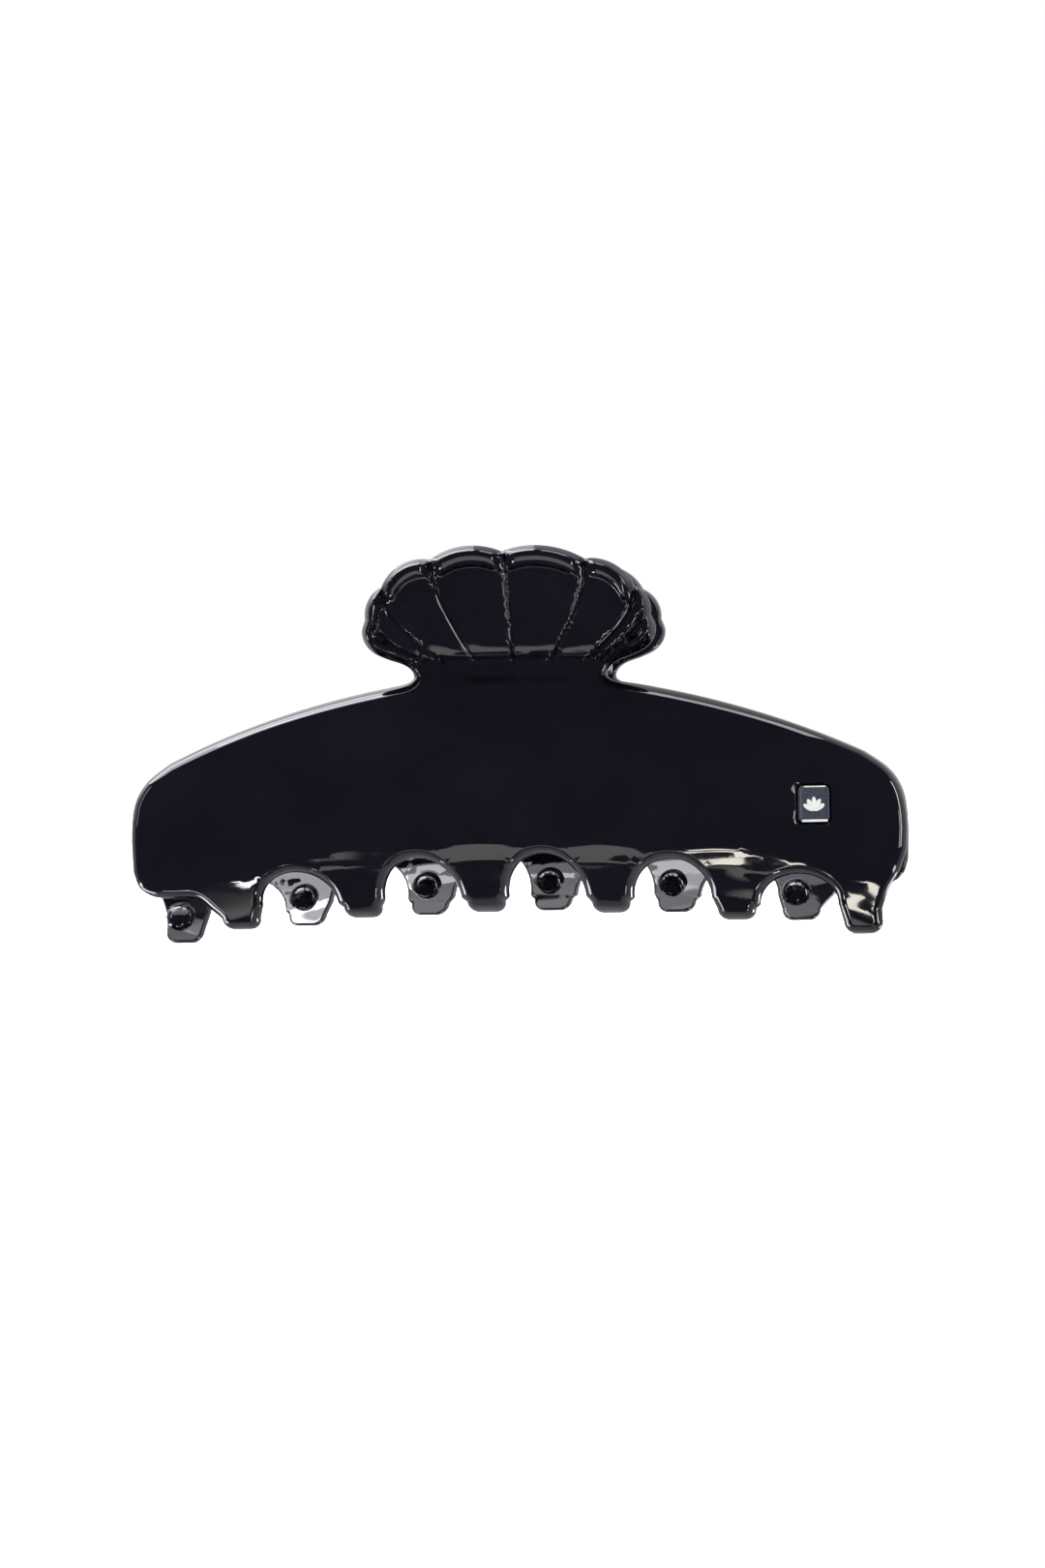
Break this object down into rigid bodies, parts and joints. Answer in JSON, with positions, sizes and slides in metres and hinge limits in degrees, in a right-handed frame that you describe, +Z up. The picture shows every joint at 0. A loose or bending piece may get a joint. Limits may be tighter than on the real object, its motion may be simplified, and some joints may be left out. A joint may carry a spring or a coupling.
{
  "type": "claw clip",
  "caption": "Glossy black hair claw clip: two interleaving curved jaws with scalloped shell finger tabs, hinged on a sprung pin.",
  "frame": {"origin": "on the vertical axis of symmetry, level with the lowest claw tips (the bottom centre of the bounding box)", "axes": "+X along the jaws' length, with the front jaw's plaque at the +X end; +Z up from the claws to the finger tabs; the front jaw is on the -Y side and the rear jaw on the +Y side, and the rear jaw is the front jaw turned half a turn about Z"},
  "size_m": [0.109, 0.0342, 0.0544],
  "materials": {
    "claw_plastic": "high gloss, polished",
    "plaque": "satin slate lacquer with bright edges",
    "pin_steel": "drawn and plated",
    "spring_steel": "drawn wire, nickel plated"
  },
  "bodies": {
    "rear_jaw": {"rear_claw": "claw_plastic", "rear_badge": "plaque", "hinge_pin": "pin_steel", "torsion_spring": "spring_steel"},
    "front_jaw": {"front_claw": "claw_plastic", "front_badge": "plaque"}
  },
  "joints": [
    {"name": "jaw_open", "type": "hinge", "parent": "rear_jaw", "child": "front_jaw", "pos_m": [0, 0, 0.0385], "axis": [-1, 0, 0], "range_deg": [0, 75], "stiffness_Nm_per_rad": 0.12, "springref_deg": -68.75, "deforming": ["torsion_spring"]}
  ]
}
